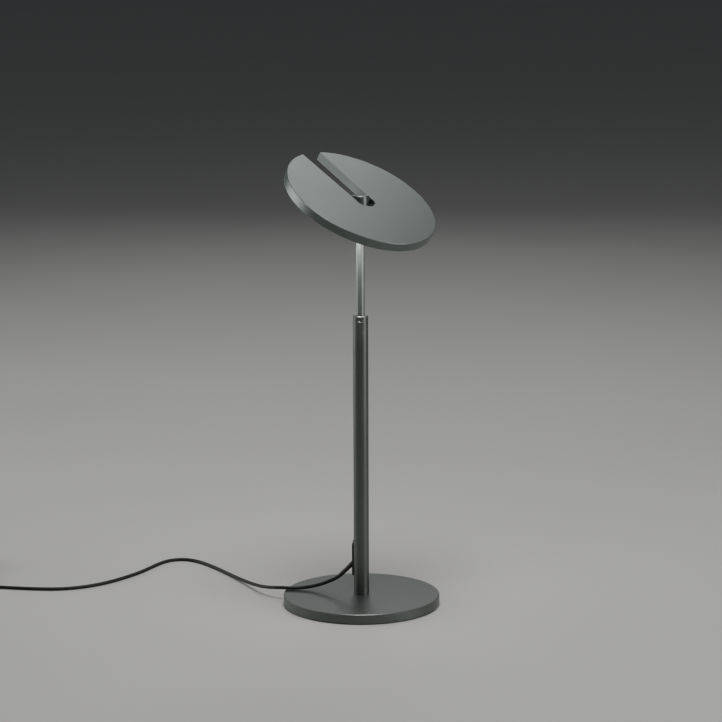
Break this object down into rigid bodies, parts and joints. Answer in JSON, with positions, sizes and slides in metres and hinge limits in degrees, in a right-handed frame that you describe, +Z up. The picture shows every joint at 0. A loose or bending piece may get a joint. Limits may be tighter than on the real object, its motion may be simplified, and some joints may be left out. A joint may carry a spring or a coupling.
{
  "type": "table lamp",
  "caption": "Table lamp with a slotted round head that tilts on a telescopic, swivelling pole, on a round weighted base, with a lead and plug-in supply.",
  "frame": {"origin": "centre of the underside of the foot pad, on the table, on the pole's axis", "axes": "+Z up along the pole; the hinge axis runs along Y; the head's slot opens towards -X at rest"},
  "size_m": [0.6059, 0.3582, 0.5171],
  "materials": {
    "satin_grey": "satin grey-green metallic coat",
    "head_grey": "satin grey-green metallic coat",
    "stem_metal": "fine brushed, satin",
    "steel": "turned steel",
    "black_screw": "blackened",
    "pad_rubber": "matte",
    "brake_rubber": "matte",
    "black_plastic": "fine matte texture",
    "lead_black": "satin black sheath",
    "wire_white": "smooth",
    "bearing_plastic": "smooth",
    "bronze": "sintered bronze",
    "board_white": "white solder mask",
    "board_green": "green solder mask",
    "film": "soft film",
    "led": "phosphor",
    "frame_white": "matte white",
    "opal": "opal diffuser"
  },
  "bodies": {
    "base": {"base_plate": "satin_grey", "foot_pad": "pad_rubber", "column_foot": "steel", "base_bolt": "steel", "bolt_washer": "steel", "column_tube": "satin_grey", "column_collar": "satin_grey", "collar_bush": "bearing_plastic", "brake_ring": "brake_rubber", "brake_retainer": "steel", "cable_outlet": "black_plastic", "outlet_button": "steel", "inner_cord": "lead_black", "coiled_lead": "lead_black", "strain_relief": "black_plastic", "mains_lead": "lead_black", "lead_coil": "lead_black", "lead_tie": "black_plastic", "lead_tail": "lead_black", "supply_body": "black_plastic", "supply_contacts": "steel"},
    "slider": {"slide_carriage": "bearing_plastic"},
    "stem": {"stem_tube": "stem_metal", "stop_ring": "steel", "end_retainer": "steel", "hinge_knuckle": "head_grey", "hinge_pin": "steel", "friction_washers": "brake_rubber", "clamp_screw": "black_screw", "stem_lead": "wire_white"},
    "head": {"head_shell": "head_grey", "hinge_bushes": "bronze", "thermal_film": "film", "led_board": "board_white", "leds": "led", "board_screws": "steel", "light_frame": "frame_white", "diffuser": "opal", "dimmer_board": "board_green", "touch_spring": "steel", "head_lead": "wire_white"}
  },
  "joints": [
    {"name": "pole_slide", "type": "slide", "parent": "base", "child": "slider", "axis": [0, 0, 1], "range_m": [-0.11, 0.05], "deforming": ["coiled_lead"]},
    {"name": "pole_swivel", "type": "hinge", "parent": "slider", "child": "stem", "pos_m": [0, 0, 0.24], "axis": [0, 0, 1], "range_deg": [-165, 165]},
    {"name": "head_tilt", "type": "hinge", "parent": "stem", "child": "head", "pos_m": [0, 0, 0.4685], "axis": [0, 1, 0], "range_deg": [-120, 15]}
  ]
}
